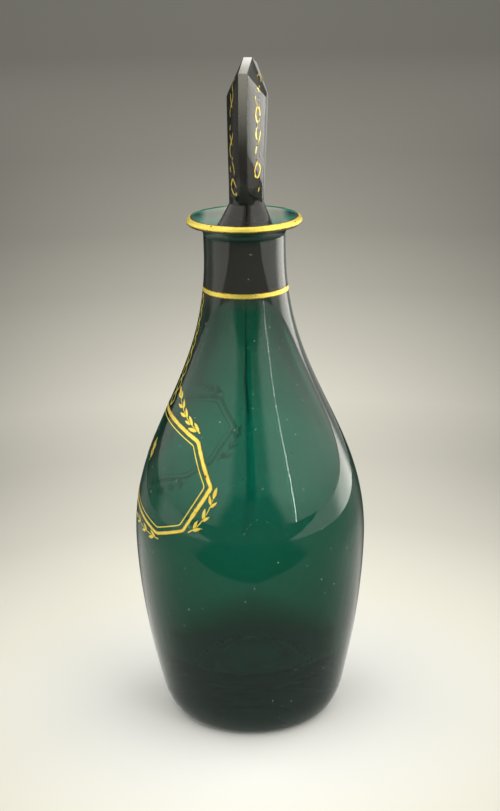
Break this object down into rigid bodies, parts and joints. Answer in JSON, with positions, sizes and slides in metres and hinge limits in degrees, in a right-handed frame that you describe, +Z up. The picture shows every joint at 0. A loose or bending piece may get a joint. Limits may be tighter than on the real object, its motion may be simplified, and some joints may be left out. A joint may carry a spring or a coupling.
{
  "type": "rum decanter",
  "caption": "Dark green glass spirit decanter with a flared gilt lip, a gilt hanging-ticket ornament and a lift-off cut lozenge stopper.",
  "frame": {"origin": "middle of the foot, on the plane that the decanter stands on", "axes": "+Z up along the bottle's axis, -Y towards the viewer of the gilt ticket, +X to that viewer's right; the stopper's flat faces look along -Y and +Y"},
  "size_m": [0.09, 0.09, 0.2583],
  "materials": {
    "glass": "polished dark green blown glass",
    "stopper_glass": "cut and polished, near black green glass",
    "gilding": "fired gilding, burnished, a little rubbed"
  },
  "bodies": {
    "decanter": {"decanter_body": "glass", "lip_gilding": "gilding", "neck_gilding": "gilding", "ticket_border": "gilding", "ticket_inner_line": "gilding", "ticket_rosette": "gilding", "ticket_sprig_left": "gilding", "ticket_sprig_right": "gilding", "ticket_chain_left": "gilding", "ticket_chain_right": "gilding", "top_spray_left": "gilding", "top_spray_right": "gilding", "side_spray_left": "gilding", "side_spray_right": "gilding", "bottom_spray_left": "gilding", "bottom_spray_right": "gilding"},
    "stopper": {"stopper": "stopper_glass", "stopper_chain_front": "gilding", "stopper_chain_back": "gilding"}
  },
  "joints": [
    {"name": "stopper_lift", "type": "slide", "parent": "decanter", "child": "stopper", "axis": [0, 0, 1], "range_m": [0, 0.034]}
  ]
}
